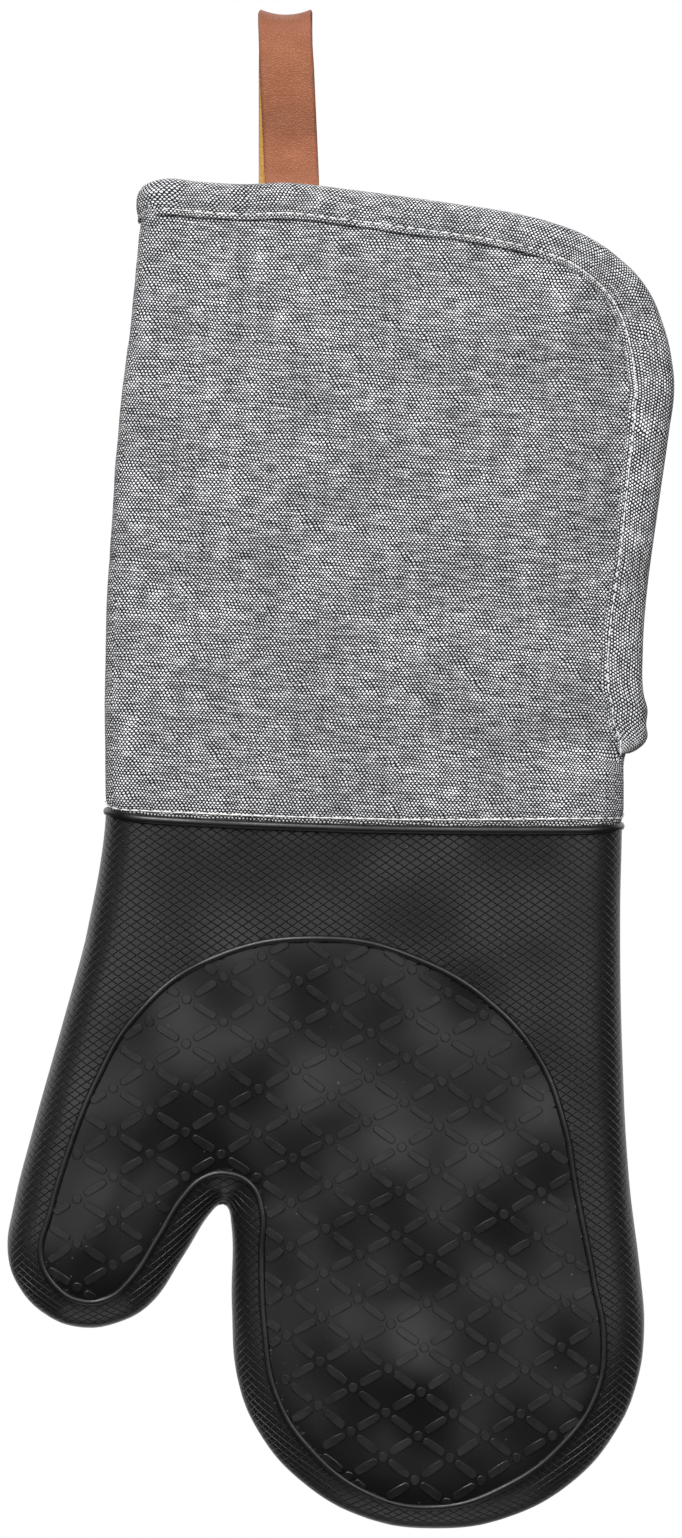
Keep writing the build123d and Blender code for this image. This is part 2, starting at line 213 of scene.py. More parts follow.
def recalculate(piece):
    """Merge doubles and point the faces outwards."""
    activate(piece)
    bpy.ops.object.mode_set(mode="EDIT")
    bpy.ops.mesh.select_all(action="SELECT")
    bpy.ops.mesh.remove_doubles(threshold=1e-6)
    bpy.ops.mesh.normals_make_consistent(inside=False)
    bpy.ops.object.mode_set(mode="OBJECT")


def shade_smooth(piece, angle=60):
    activate(piece)
    bpy.ops.object.shade_smooth_by_angle(angle=radians(angle))


def unit(value):
    """A number held between 0 and 1."""
    return min(1.0, max(0.0, value))


def eased(share):
    """Smooth start and end for a share of 0 to 1."""
    return share * share * (3 - 2 * share)


def travelled_along(track):
    """Length from the start of a line to each of its points."""
    return np.concatenate([[0], np.cumsum(np.linalg.norm(np.diff(track, axis=0), axis=1))])


def placed_along(at, lengths, rows):
    """Rows of three numbers, read at the given lengths along a line."""
    return np.stack([np.interp(at, lengths, rows[:, axis]) for axis in range(3)], axis=1)


def smooth_line(name, points, closed):
    """A Bezier curve through points in millimetres, lying in its own XY plane."""
    deselect()
    bpy.ops.curve.primitive_bezier_curve_add()
    line = bpy.context.object
    line.name = name
    line.data.splines.clear()
    spline = line.data.splines.new("BEZIER")
    spline.bezier_points.add(len(points) - 1)
    for bezier, point in zip(spline.bezier_points, points):
        bezier.co = Vector((*point, 0)[:3]) * MM
        bezier.handle_left_type = "AUTO"
        bezier.handle_right_type = "AUTO"
    spline.use_cyclic_u = closed
    spline.resolution_u = 12
    line.data.dimensions = "3D"
    return line


def sampled(points, closed, step):
    """Points at even steps, in millimetres, along the smooth line through the given ones."""
    line = smooth_line("line", points, closed)
    activate(line)
    bpy.ops.object.convert(target="MESH")
    track = points_of(bpy.context.object) / MM
    bpy.data.objects.remove(bpy.context.object)
    if closed:
        track = np.vstack([track, track[:1]])
    lengths = travelled_along(track)
    count = max(2, round(lengths[-1] / step))
    even = placed_along(np.linspace(0, lengths[-1], count + 1), lengths, track)
    return even[:-1] if closed else even


def stand_up(piece):
    """Turn a piece drawn in the XY plane to face the front, and apply its place."""
    activate(piece)
    piece.rotation_euler = (pi / 2, 0, 0)
    bpy.ops.object.transform_apply(location=True, rotation=True, scale=True)


def inside(outline, x, z):
    """Which points lie inside a closed outline, by counting crossings."""
    ax, az = outline.T
    bx, bz = np.roll(outline, -1, axis=0).T
    x, z = np.atleast_1d(x)[:, None], np.atleast_1d(z)[:, None]
    crosses = (az > z) != (bz > z)
    slope = (bx - ax) / np.where(bz == az, 1e-9, bz - az)
    return np.count_nonzero(crosses & (x < ax + slope * (z - az)), axis=1) % 2 == 1


def map_by_vertex(piece, places):
    """UV map in millimetres from one place per vertex."""
    layer = piece.data.uv_layers.new(name="surface")
    for loop in piece.data.loops:
        layer.data[loop.index].uv = places[loop.vertex_index]


def unroll(piece, radius, flat, turn=0.0, boxed=False):
    """UV map in millimetres that keeps its scale where the surface turns round a side.

    Boxed pieces have their sides mapped from the side.
    """
    points = points_of(piece) / MM
    normals = normals_of(piece)
    facing = np.clip(np.abs(normals[:, 1]), 0, 1)
    angle = np.arccos(facing)
    sideways = np.maximum(np.hypot(normals[:, 0], normals[:, 2]), 1e-6)
    extra = (radius * (angle - np.sin(angle)) + np.clip(flat - np.abs(points[:, 1]), 0, None)) / sideways
    extra = np.where(sideways > 0.3, extra, 0)
    u = points[:, 0] + normals[:, 0] * extra
    v = points[:, 2] + normals[:, 2] * extra
    corners = np.empty(len(piece.data.loops), int)
    piece.data.loops.foreach_get("vertex_index", corners)
    u, v = u[corners], v[corners]
    if boxed:
        faces = piece.data.polygons
        sideways_faces = [abs(face.normal.x) > 0.72 for face in faces]
        on_side = np.repeat(sideways_faces, [face.loop_total for face in faces])
        u = np.where(on_side, points[corners, 1], u)
        v = np.where(on_side, points[corners, 2], v)
    u, v = u * cos(turn) - v * sin(turn), v * cos(turn) + u * sin(turn)
    layer = piece.data.uv_layers.new(name="surface")
    layer.data.foreach_set("uv", np.stack([u, v], axis=1).ravel())


def paint(piece, name, values):
    """Store one number per vertex for a material to read."""
    attribute = piece.data.attributes.new(name, "FLOAT", "POINT")
    attribute.data.foreach_set("value", np.asarray(values, np.float32))


def soft_wave(x, z, scale, seed):
    """Gentle unevenness of a soft surface, about -1 to 1."""
    return noise.noise(Vector((x / scale, z / scale, seed)))


# Materials


class Shading:
    """A material, or a shader group, with short calls for adding and joining its nodes."""

    def __init__(self, tree):
        self.tree = tree

    def node(self, kind, **settings):
        made = self.tree.nodes.new(kind)
        for name, value in settings.items():
            setattr(made, name, value)
        return made

    def link(self, source, target):
        self.tree.links.new(source, target)

    def feed(self, socket, value):
        if isinstance(value, bpy.types.NodeSocket):
            self.link(value, socket)
        elif value is not None:
            socket.default_value = value

    def math(self, operation, a, b=None):
        made = self.node("ShaderNodeMath", operation=operation)
        self.feed(made.inputs[0], a)
        self.feed(made.inputs[1], b)
        return made.outputs[0]

    def ramp(self, value, low, high, to_low=0.0, to_high=1.0, smooth=True):
        made = self.node("ShaderNodeMapRange", interpolation_type="SMOOTHSTEP" if smooth else "LINEAR")
        for socket, number in zip(made.inputs, (value, low, high, to_low, to_high)):
            self.feed(socket, number)
        return made.outputs[0]

    def mix(self, factor, a, b, blend="MIX"):
        made = self.node("ShaderNodeMix", data_type="RGBA", blend_type=blend)
        self.feed(made.inputs[0], factor)
        self.feed(made.inputs[6], a)
        self.feed(made.inputs[7], b)
        return made.outputs[2]

    def noise(self, vector, scale, detail=3.0, roughness=0.5):
        made = self.node("ShaderNodeTexNoise")
        self.feed(made.inputs["Vector"], vector)
        made.inputs["Scale"].default_value = scale
        made.inputs["Detail"].default_value = detail
        made.inputs["Roughness"].default_value = roughness
        return made.outputs[0]

    def stretched(self, vector, scale):
        made = self.node("ShaderNodeMapping")
        self.feed(made.inputs["Vector"], vector)
        made.inputs["Scale"].default_value = scale
        return made.outputs[0]

    def bump(self, height, distance, strength=1.0, normal=None):
        made = self.node("ShaderNodeBump")
        made.inputs["Distance"].default_value = distance
        made.inputs["Strength"].default_value = strength
        self.feed(made.inputs["Height"], height)
        if normal is not None:
            self.feed(made.inputs["Normal"], normal)
        return made.outputs[0]


def new_group(name, inputs, outputs):
    """An empty shader group with named sockets."""
    tree = bpy.data.node_groups.new(name, "ShaderNodeTree")
    for socket, kind in inputs:
        tree.interface.new_socket(socket, in_out="INPUT", socket_type=kind)
    for socket, kind in outputs:
        tree.interface.new_socket(socket, in_out="OUTPUT", socket_type=kind)
    shading = Shading(tree)
    return shading, shading.node("NodeGroupInput"), shading.node("NodeGroupOutput")


def new_material(name, roughness):
    material = bpy.data.materials.new(name)
    material.use_nodes = True
    shading = Shading(material.node_tree)
    shader = material.node_tree.nodes["Principled BSDF"]
    shader.inputs["Roughness"].default_value = roughness
    return material, shading, shader


def use_group(shading, group, **values):
    made = shading.node("ShaderNodeGroup", node_tree=group)
    for name, value in values.items():
        shading.feed(made.inputs[name], value)
    return made


def plain_weave_group():
    """Plain weave in millimetres: the weft's dots, their tone, slubs, the warp's shade and height."""
    shading, given, out = new_group(
        "plain weave",
        [("Place", "NodeSocketVector"), ("Across", "NodeSocketFloat"), ("Along", "NodeSocketFloat")],
        [("Dot", "NodeSocketFloat"), ("Tone", "NodeSocketFloat"), ("Slub", "NodeSocketFloat"),
         ("Shade", "NodeSocketFloat"), ("Height", "NodeSocketFloat")],
    )
    place = given.outputs["Place"]
    wobble = shading.math("MULTIPLY", shading.math("SUBTRACT", shading.noise(place, 0.16, 2.0), 0.5), 1.6)
    split = shading.node("ShaderNodeSeparateXYZ")
    shading.link(place, split.inputs[0])
    u = shading.math("DIVIDE", shading.math("ADD", split.outputs[0], wobble), given.outputs["Across"])
    v = shading.math("DIVIDE", shading.math("ADD", split.outputs[1], wobble), given.outputs["Along"])
    column, row = shading.math("FLOOR", u), shading.math("FLOOR", v)
    turn = shading.math("MULTIPLY", shading.math("ADD", shading.math("SUBTRACT", u, row), 0.5), 0.5)
    aside = shading.math("SUBTRACT", shading.math("FRACT", turn), 0.5)
    above = shading.math("SUBTRACT", shading.math("FRACT", v), 0.5)
    dot_width, dot_height = 0.36, 0.45
    aside = shading.math("DIVIDE", shading.math("ABSOLUTE", aside), dot_width)
    above = shading.math("DIVIDE", shading.math("ABSOLUTE", above), dot_height)
    from_middle = shading.math("ADD", shading.math("POWER", aside, 2.0), shading.math("POWER", above, 2.0))
    dome_u = shading.math("SINE", shading.math("MULTIPLY", shading.math("FRACT", u), pi))
    dome_v = shading.math("SINE", shading.math("MULTIPLY", shading.math("FRACT", v), pi))
    height = shading.math("POWER", shading.math("MULTIPLY", dome_u, dome_v), 0.5)
    cell = shading.node("ShaderNodeCombineXYZ")
    shading.link(column, cell.inputs[0])
    shading.link(row, cell.inputs[1])
    chance = shading.node("ShaderNodeTexWhiteNoise", noise_dimensions="2D")
    shading.link(cell.outputs[0], chance.inputs["Vector"])
    slub = shading.noise(shading.stretched(place, (0.17, 1.45, 1)), 1.0, 3.0, 0.6)
    shade = shading.noise(shading.stretched(place, (1.9, 0.07, 1)), 1.0, 3.0, 0.6)
    shading.link(shading.math("SUBTRACT", 1.0, from_middle), out.inputs["Dot"])
    shading.link(chance.outputs["Value"], out.inputs["Tone"])
    shading.link(slub, out.inputs["Slub"])
    shading.link(shade, out.inputs["Shade"])
    shading.link(height, out.inputs["Height"])
    return shading.tree


def chambray(weave):
    """Charcoal warp crossed by white slubby weft, which shows as rows of small dots."""
    material, shading, shader = new_material("chambray", 0.85)
    place = shading.node("ShaderNodeUVMap", uv_map="surface").outputs[0]
    yarns = use_group(shading, weave, Place=place, Across=WARP_PITCH, Along=WEFT_PITCH)
    slub = shading.ramp(yarns.outputs["Slub"], 0.34, 0.66)
    by_dot = shading.math("MULTIPLY", yarns.outputs["Tone"], 0.4)
    tone = shading.math("ADD", shading.math("MULTIPLY", slub, 0.6), by_dot)
    white = shading.mix(tone, (0.6, 0.605, 0.62, 1), (1, 1, 1, 1))
    dark = shading.mix(
        shading.ramp(yarns.outputs["Shade"], 0.35, 0.7), (0.006, 0.007, 0.011, 1), (0.034, 0.036, 0.046, 1)
    )
    clump = shading.ramp(shading.noise(place, 0.16, 2.0), 0.52, 0.74, 0.0, 0.2)
    fat = shading.math("SUBTRACT", shading.ramp(slub, 0.0, 1.0, 0.585, 0.25, smooth=False), clump)
    show = shading.ramp(shading.math("SUBTRACT", yarns.outputs["Dot"], fat), -0.22, 0.22)
    thick = shading.ramp(yarns.outputs["Slub"], 0.62, 0.76, 0.0, 0.45)
    thick = shading.math("MULTIPLY", thick, shading.ramp(yarns.outputs["Height"], 0.2, 0.6))
    colour = shading.mix(shading.math("MAXIMUM", show, thick), dark, white)
    patch = shading.noise(place, 0.05, 3.0)
    band = shading.noise(shading.stretched(place, (0.03, 0.55, 1)), 1.0, 3.0, 0.6)
    stripe = shading.noise(shading.stretched(place, (0.6, 0.03, 1)), 1.0, 3.0, 0.6)
    for unevenness, dull, bright in ((patch, 0.85, 1.12), (band, 0.9, 1.08), (stripe, 0.88, 1.12)):
        colour = shading.mix(1.0, colour, shading.ramp(unevenness, 0.3, 0.7, dull, bright), "MULTIPLY")
    shading.link(colour, shader.inputs["Base Color"])
    crease = shading.noise(place, 0.12, 3.0)
    soft = shading.bump(crease, 0.0012, 0.35)
    shading.link(shading.bump(yarns.outputs["Height"], 0.00022, 0.6, soft), shader.inputs["Normal"])
    shader.inputs["Specular IOR Level"].default_value = 0.2
    return material


def lining_cotton(weave):
    """Plain grey cotton inside, with painted shade in the gaps of its weave."""
    material, shading, shader = new_material("lining cotton", 0.9)
    place = shading.node("ShaderNodeUVMap", uv_map="surface").outputs[0]
    yarns = use_group(shading, weave, Place=place, Across=0.5, Along=0.5)
    tone = shading.ramp(yarns.outputs["Slub"], 0.3, 0.7)
    colour = shading.mix(tone, (0.39, 0.39, 0.395, 1), (0.47, 0.47, 0.475, 1))
    # painted shade: each yarn darkened towards its edges, in the gaps of the weave
    gap = shading.ramp(yarns.outputs["Height"], 0.0, 0.5, 0.7, 1.0)
    shading.link(shading.mix(1.0, colour, gap, "MULTIPLY"), shader.inputs["Base Color"])
    shading.link(shading.bump(yarns.outputs["Height"], 0.0002, 0.5), shader.inputs["Normal"])
    return material


def silicone():
    """Near-black semi-matt silicone; small embossed scales outside the grip panel, painted shade in their
    grooves and small painted glints.
    """
    material, shading, shader = new_material("silicone", 0.5)
    place = shading.node("ShaderNodeUVMap", uv_map="surface").outputs[0]
    panel = shading.node("ShaderNodeAttribute", attribute_name="panel").outputs["Fac"]
    split = shading.node("ShaderNodeSeparateXYZ")
    shading.link(place, split.inputs[0])
    across = shading.math("DIVIDE", split.outputs[0], SCALE_WIDTH)
    along = shading.math("DIVIDE", split.outputs[1], SCALE_HEIGHT)
    rising = shading.math("PINGPONG", shading.math("ADD", across, along), 0.5)
    falling = shading.math("PINGPONG", shading.math("SUBTRACT", across, along), 0.5)
    groove = shading.math("MINIMUM", rising, falling)
    scale = shading.ramp(groove, 0.0, 0.1)
    border = shading.math("SUBTRACT", 1.0, panel)
    scale = shading.math("MULTIPLY", scale, border)
    point = shading.node("ShaderNodeTexCoord").outputs["Object"]
    grain = shading.noise(point, 2600, 2.0)
    cloud = shading.noise(point, 22, 3.0)
    # painted glints: small light specks scattered over the silicone, standing in for the scales catching
    # light
    glint_cells = shading.node("ShaderNodeTexVoronoi", distance="EUCLIDEAN")
    shading.link(point, glint_cells.inputs["Vector"])
    glint_cells.inputs["Scale"].default_value = 230
    glint_size = shading.math("MULTIPLY", shading.noise(point, 90, 1.0), 0.16)
    glint = shading.math("LESS_THAN", glint_cells.outputs["Distance"], shading.math("SUBTRACT", glint_size, 0.035))
    base = shading.mix(cloud, (0.003, 0.003, 0.0034, 1), (0.006, 0.006, 0.0066, 1))
    base = shading.mix(border, base, (0.009, 0.009, 0.0098, 1))
    # painted shade: the scales' grooves darkened
    groove_shade = shading.math("MULTIPLY", border, shading.ramp(groove, 0.0, 0.08, 0.6, 0.0))
    base = shading.mix(groove_shade, base, (0, 0, 0, 1))
    # the painted glints mixed in
    base = shading.mix(shading.math("MULTIPLY", glint, 0.3), base, (0.16, 0.16, 0.16, 1))
    shading.link(base, shader.inputs["Base Color"])
    rough = shading.ramp(cloud, 0.25, 0.75, 0.2, 0.3)
    rough = shading.math("ADD", rough, shading.math("MULTIPLY", border, 0.09))
    shading.link(rough, shader.inputs["Roughness"])
    fine = shading.bump(grain, 0.00003, 0.3)
    shading.link(shading.bump(scale, 0.0004, 0.9, fine), shader.inputs["Normal"])
    return material


def grip_silicone():
    """The same silicone on the raised beads and grips, a little rubbed and greyer in patches."""
    material, shading, shader = new_material("grip silicone", 0.55)
    point = shading.node("ShaderNodeTexCoord").outputs["Object"]
    grain = shading.noise(point, 1500, 3.0)
    rub = shading.noise(point, 300, 2.0)
    base = shading.mix(rub, (0.003, 0.003, 0.0034, 1), (0.007, 0.007, 0.0076, 1))
    shading.link(base, shader.inputs["Base Color"])
    shading.link(shading.ramp(rub, 0.2, 0.8, 0.3, 0.42), shader.inputs["Roughness"])
    shading.link(shading.bump(grain, 0.00008, 0.5), shader.inputs["Normal"])
    return material


def sewing_thread(name, dull, bright):
    """White cotton thread with a twist."""
    material, shading, shader = new_material(name, 0.7)
    point = shading.node("ShaderNodeTexCoord").outputs["Object"]
    twist = shading.node("ShaderNodeTexWave", wave_type="BANDS", bands_direction="DIAGONAL")
    shading.link(point, twist.inputs["Vector"])
    twist.inputs["Scale"].default_value = 900
    tone = shading.noise(point, 160, 2.0)
    shading.link(shading.mix(tone, (*dull, 1), (*bright, 1)), shader.inputs["Base Color"])
    shading.link(shading.bump(twist.outputs["Fac"], 0.0001, 0.4), shader.inputs["Normal"])
    return material


def leather(name, dark, light, fold):
    """Strap leather with a fine grain; fold is its colour at the cut edges and its painted shade over the
    creased top and near the cuff.
    """
    material, shading, shader = new_material(name, 0.5)
    place = shading.node("ShaderNodeUVMap", uv_map="surface").outputs[0]
    pores = shading.node("ShaderNodeTexVoronoi", feature="DISTANCE_TO_EDGE")
    warped = shading.stretched(place, (0.75, 1.25, 1))
    shading.link(warped, pores.inputs["Vector"])
    pores.inputs["Scale"].default_value = 1.5
    cells = shading.ramp(pores.outputs["Distance"], 0.0, 0.28)
    wrinkle = shading.noise(shading.stretched(place, (0.5, 1.6, 1)), 0.9, 4.0, 0.6)
    tone = shading.noise(place, 0.16, 3.0)
    painted_shade_and_edge_mask = shading.node("ShaderNodeAttribute", attribute_name="crease").outputs["Fac"]
    colour = shading.mix(shading.ramp(tone, 0.3, 0.7), dark, light)
    # painted shade over the creased top and near the cuff, and darker cut edges, read from the crease
    # attribute
    colour = shading.mix(painted_shade_and_edge_mask, colour, fold)
    colour = shading.mix(1.0, colour, shading.ramp(cells, 0.0, 1.0, 0.8, 1.0), "MULTIPLY")
    shading.link(colour, shader.inputs["Base Color"])
    shading.link(shading.ramp(wrinkle, 0.2, 0.8, 0.6, 0.75), shader.inputs["Roughness"])
    shader.inputs["Specular IOR Level"].default_value = 0.25
    pebble = shading.bump(cells, 0.00009, 0.6)
    shading.link(shading.bump(wrinkle, 0.00018, 0.35, pebble), shader.inputs["Normal"])
    return material


# Glove


def rim_height(x):
    """Height of the rim, which lifts towards the thumb side and a little at both ends."""
    (left, left_lift), (right, right_lift) = RIM_ENDS
    left_end = left_lift * np.clip((left - x) / RIM_END_LENGTH, 0, 1) ** 2
    right_end = right_lift * np.clip((x - right) / RIM_END_LENGTH, 0, 1) ** 2
    return RIM_LOW + RIM_LIFT * (np.maximum(0, 60 - x) / 110) ** 2 + left_end + right_end


def glove_solid(name, shrink, voxel):
    """Rounded solid of the glove's outline, drawn in by a distance and cut off at the rim."""
    line = smooth_line(name, GLOVE_OUTLINE, True)
    line.data.dimensions = "2D"
    line.data.fill_mode = "BOTH"
    line.data.extrude = (GLOVE_DEPTH - GLOVE_ROUND) * MM
    line.data.bevel_depth = (GLOVE_ROUND - shrink) * MM
    line.data.bevel_resolution = 6
    line.data.offset = -GLOVE_ROUND * MM
    activate(line)
    bpy.ops.object.convert(target="MESH")
    piece = bpy.context.object
    stand_up(piece)
    modify(piece, "REMESH", mode="VOXEL", voxel_size=voxel * MM)
    modify(piece, "SMOOTH", factor=0.5, iterations=4)
    return piece


def cushioned(piece):
    """Let the palm and back swell a little over the padding, with soft hollows."""
    points = points_of(piece) / MM
    outline = sampled(GLOVE_OUTLINE, True, 4.0)[:, :2]
    gaps = [np.min(np.hypot(outline[:, 0] - x, outline[:, 1] - z)) for x, y, z in points]
    for index, (x, y, z) in enumerate(points):
        well_in = min(1.0, gaps[index] / SWELL_REACH)
        swell = SWELL * well_in * (2 - well_in)
        seed = 3.7 if y < 0 else 9.1
        wave = HOLLOW_DEPTH * min(1.0, gaps[index] / HOLLOW_REACH) * soft_wave(x, 0.6 * z, HOLLOW_SIZE, seed)
        points[index, 1] += np.sign(y) * (swell + wave) * min(1.0, abs(y) / GLOVE_DEPTH)
    move_points(piece, points * MM)


def open_at_rim(piece, height):
    """Cut the top off at the rim and let the cut edge follow the rim's line."""
    activate(piece)
    bpy.ops.object.mode_set(mode="EDIT")
    bpy.ops.mesh.select_all(action="SELECT")
    bpy.ops.mesh.bisect(plane_co=(0, 0, height * MM), plane_no=(0, 0, 1), clear_outer=True)
    bpy.ops.object.mode_set(mode="OBJECT")
    points = points_of(piece) / MM
    near = np.clip(1 - (height - points[:, 2]) / 30, 0, 1)
    points[:, 2] += near * (rim_height(points[:, 0]) - RIM_LOW)
    move_points(piece, points * MM)


def rim_loop(piece):
    """The open edge of a piece as points in order, in millimetres."""
    edges = bmesh.new()
    edges.from_mesh(piece.data)
    start = next(edge for edge in edges.edges if edge.is_boundary)
    loop, vert, edge = [], start.verts[0], start
    while True:
        loop.append(vert.co.copy() / MM)
        vert = edge.other_vert(vert)
        edge = next(e for e in vert.link_edges if e.is_boundary and e is not edge)
        if edge is start:
            break
    edges.free()
    return np.array(loop)


def tube(name, track, radius, closed):
    """Round bead along a line of points in millimetres."""
    deselect()
    bpy.ops.curve.primitive_nurbs_path_add()
    line = bpy.context.object
    line.name = name
    line.data.splines.clear()
    spline = line.data.splines.new("POLY")
    spline.points.add(len(track) - 1)
    for point, place in zip(spline.points, track):
        point.co = (*(Vector(place) * MM), 1)
    spline.use_cyclic_u = closed
    line.data.dimensions = "3D"
    line.data.bevel_depth = radius * MM
    line.data.bevel_resolution = 3
    activate(line)
    bpy.ops.object.convert(target="MESH")
    piece = bpy.context.object
    recalculate(piece)
    shade_smooth(piece, 80)
    return piece


def seat(skin, x, z, side):
    """Point and normal, in millimetres, on one face of the glove (side -1 is the palm)."""
    start = Vector((x * MM, side * 0.06, z * MM))
    place, normal, index, gap = skin.ray_cast(start, Vector((0, -side, 0)))
    return place / MM, normal


def panel_bead(name, skin, side):
    track = []
    for x, z, flat in sampled(PANEL_OUTLINE, True, 1.6):
        place, normal = seat(skin, x, z, side)
        track.append(place + normal * 0.1)
    return tube(name, track, BEAD_RADIUS, True)


def grip_bar():
    """One raised grip bar on the XY plane, with rounded ends and a softened top."""
    deselect()
    bpy.ops.mesh.primitive_circle_add(vertices=12, radius=BAR_WIDTH / 2 * MM, fill_type="NGON")
    bar = bpy.context.object
    for vert in bar.data.vertices:
        if abs(vert.co.x) > 1e-6:
            vert.co.x += (BAR_LENGTH - BAR_WIDTH) / 2 * MM * (1 if vert.co.x > 0 else -1)
    return raise_top(bar)


def grip_dot():
    deselect()
    bpy.ops.mesh.primitive_circle_add(vertices=12, radius=DOT_RADIUS * MM, fill_type="NGON")
    return raise_top(bpy.context.object)


def raise_top(grip):
    """Sink the outline below the surface, then raise it to a top with a bevelled edge."""
    activate(grip)
    bpy.ops.object.mode_set(mode="EDIT")
    bpy.ops.mesh.select_all(action="SELECT")
    bpy.ops.transform.translate(value=(0, 0, -GRIP_ROOT * MM))
    rise = (0, 0, (GRIP_ROOT + 0.7 * GRIP_HEIGHT) * MM)
    bpy.ops.mesh.extrude_region_move(TRANSFORM_OT_translate={"value": rise})
    bpy.ops.mesh.inset(thickness=GRIP_CHAMFER * MM)
    bpy.ops.transform.translate(value=(0, 0, 0.3 * GRIP_HEIGHT * MM))
    bpy.ops.object.mode_set(mode="OBJECT")
    return grip


def copies(name, models, places):
    """One mesh holding a copy of a model at each place; a copy's two ends may be drawn in."""
    points, faces = [], []
    for model, matrix, *drawn_in in places:
        base = len(points)
        low, high = drawn_in or (0.0, 0.0)
        for vert in models[model].data.vertices:
            shift = low if vert.co.x < 0 else -high
            points.append(matrix @ (vert.co + Vector((shift * MM, 0, 0))))
        faces += [[base + index for index in face.vertices] for face in models[model].data.polygons]
    piece = mesh_piece(name, points, faces)
    recalculate(piece)
    return piece


def standing(place, normal, along):
    """Matrix that sets a model on a surface, with its X axis along a direction."""
    up = Vector(normal).normalized()
    x_axis = (Vector(along) - up * up.dot(Vector(along))).normalized()
    y_axis = up.cross(x_axis)
    turned = Matrix((x_axis, y_axis, up)).transposed().to_4x4()
    return Matrix.Translation(Vector(place) * MM) @ turned


def lattice(column, row):
    """Place of a lattice dot; the columns lean more and the rows drop towards the fingers."""
    drop = ROW_DROP * eased(unit((column - 2) / 6))
    down = row * ROW_PITCH
    lean = COLUMN_LEAN * max(0.0, column) * down
    return Vector((LATTICE_DOT[0] + column * COLUMN_PITCH - lean, LATTICE_DOT[1] - down - drop))


def clear_length(outline, spot, along):
    """How far a bar may run from its middle before it meets the bead."""
    reach = np.linspace(0, BAR_LENGTH / 2, 15)
    x, z = spot.x + along.x * reach, spot.y + along.y * reach
    gaps = np.hypot(outline[:, 0] - x[:, None], outline[:, 1] - z[:, None]).min(axis=1)
    blocked = np.flatnonzero((gaps < GRIP_GAP) | ~inside(outline, x, z))
    return reach[max(0, blocked[0] - 1)] if len(blocked) else BAR_LENGTH / 2


def grip_pattern(name, skin, side):
    """Dots and bars of the grip panel on one face, stopped at its bead."""
    outline = sampled(PANEL_OUTLINE, True, 1.0)[:, :2]
    models = {"bar": grip_bar(), "dot": grip_dot()}
    places = []
    for column in range(-4, 14):
        for row in range(-12, 22):
            if (column + row) % 2:
                continue
            dot = lattice(column, row)
            spots = [("dot", dot, Vector((1, 0)))]
            for end in (lattice(column + 1, row - 1), lattice(column + 1, row + 1)):
                spots.append(("bar", (dot + end) / 2, (end - dot).normalized()))
            for model, spot, along in spots:
                if not inside(outline, spot.x, spot.y)[0]:
                    continue
                low, high = clear_length(outline, spot, -along), clear_length(outline, spot, along)
                half = BAR_LENGTH / 2 if model == "bar" else DOT_RADIUS
                if low + high < SHORTEST_BAR or (model == "dot" and min(low, high) < DOT_RADIUS):
                    continue
                place, normal = seat(skin, spot.x, spot.y, side)
                ends = (max(0.0, half - low), max(0.0, half - high)) if model == "bar" else (0.0, 0.0)
                places.append((model, standing(place, normal, (along.x, 0, along.y)), *ends))
    piece = copies(name, models, places)
    for model in models.values():
        bpy.data.objects.remove(model)
    shade_smooth(piece, 35)
    return piece


def make_glove(skin_material, grip_material):
    glove = glove_solid("glove", 0.0, 1.5)
    cushioned(glove)
    open_at_rim(glove, RIM_LOW)
    skin = BVHTree.FromObject(glove, bpy.context.evaluated_depsgraph_get())
    edge = rim_loop(glove)
    unroll(glove, GLOVE_ROUND, GLOVE_DEPTH - GLOVE_ROUND)
    points = points_of(glove) / MM
    panel = sampled(PANEL_OUTLINE, True, 2.0)[:, :2]
    paint(glove, "panel", inside(panel, points[:, 0], points[:, 2]) & (np.abs(points[:, 1]) > 8))
    modify(glove, "SOLIDIFY", thickness=GLOVE_WALL * MM, offset=-1)
    shade_smooth(glove, 70)
    pieces = [glove]
    centre = np.mean(edge, axis=0)
    outward = edge - centre
    outward[:, 2] = 0
    outward /= np.linalg.norm(outward, axis=1)[:, None]
    on_edge = edge + outward * (-0.55, 0.35, 0) + (0, 0, 0.15)
    pieces.append(tube("rim_bead", on_edge[::2], RIM_BEAD, True))
    for face, side in (("palm", -1), ("back", 1)):
        pieces.append(panel_bead(f"panel_bead_{face}", skin, side))
        pieces.append(grip_pattern(f"grips_{face}", skin, side))
    for piece in pieces:
        piece.data.materials.append(skin_material if piece is glove else grip_material)
        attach(piece, "mitt")
        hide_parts("silicone_shell")


def make_hand_padding(material):
    """Wadding and lining inside the glove, open at the rim."""
    padding = glove_solid("hand_padding", PADDING_GAP, 3.0)
    open_at_rim(padding, RIM_LOW - PADDING_DROP)
    modify(padding, "SOLIDIFY", thickness=PADDING_THICKNESS * MM, offset=-1)
    unroll(padding, GLOVE_ROUND, GLOVE_DEPTH - GLOVE_ROUND)
    shade_smooth(padding)
    padding.data.materials.append(material)
    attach(padding, "mitt")
    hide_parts("hand_wadding_palm", "hand_wadding_back", "hand_lining_palm", "hand_lining_back")


# Cuff


def cuff_depth(x, z):
    """Distance of the cuff's front from the middle plane."""
    rise = (z - CUFF_RIM) / (CUFF_TOP - CUFF_RIM)
    left = RIM_DEPTH + (TOP_DEPTH - RIM_DEPTH) * rise
    bend = VENT_BEND - (left - VENT_DEPTH) / VENT_SLOPE
    return np.where(x < bend, left, np.maximum(VENT_DEPTH, left - (x - bend) * VENT_SLOPE))


def bound_edge():
    """The bound edge in space: from the left side seam along the middle of the front layers."""
    turn_x, reach = LEFT_TURN
    middle = TOP_DEPTH - STACK / 2
    heights = (-46.6, -45.3, -44.7)
    edge = []
    for angle, height in zip((0, 35, 65), heights):
        depth = (middle + 0.5) * min(1.0, 1.25 * sin(radians(angle)))
        edge.append((turn_x - reach * cos(radians(angle)), -depth, height))
    return edge + [(x, -float(cuff_depth(x, z)) + STACK / 2, z) for x, z in BOUND_EDGE]


